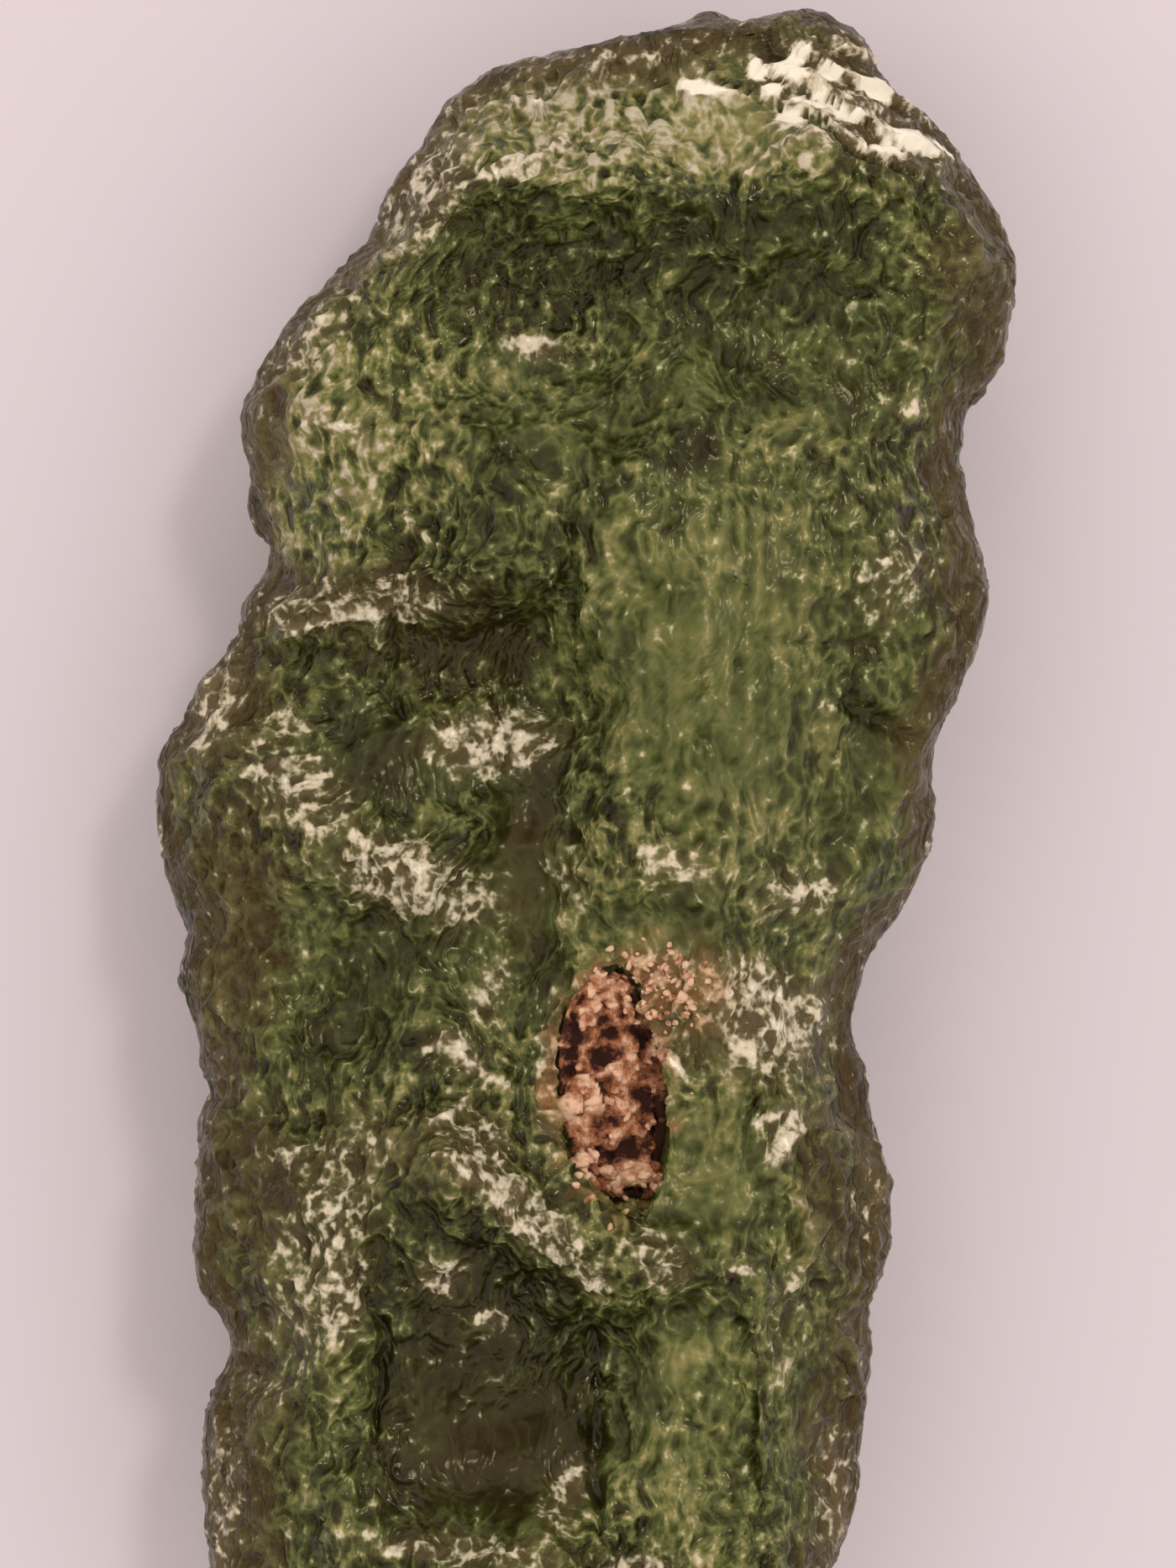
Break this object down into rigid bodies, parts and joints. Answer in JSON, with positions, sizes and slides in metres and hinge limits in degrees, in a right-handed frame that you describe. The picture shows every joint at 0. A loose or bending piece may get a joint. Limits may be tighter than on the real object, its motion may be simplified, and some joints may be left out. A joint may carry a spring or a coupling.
{
  "type": "moldavite",
  "caption": "Long, deeply etched slab of natural green glass, lying on its worn back, with brown soil packed in the one deep pit of its front face.",
  "frame": {"origin": "middle of the stone's bounding box, at the level it rests on", "axes": "+Y along the stone towards its bevelled top end, +Z out of the front face with the pit, +X to the right as the front is seen"},
  "size_m": [0.016, 0.0342, 0.0077],
  "materials": {
    "green_glass": "translucent natural glass, satin and etched all over, with frosted crests",
    "soil": "matte, crumbly, fine sand in brown clay"
  },
  "bodies": {
    "root": {"moldavite": "green_glass", "pit_soil": "soil"}
  },
  "joints": []
}
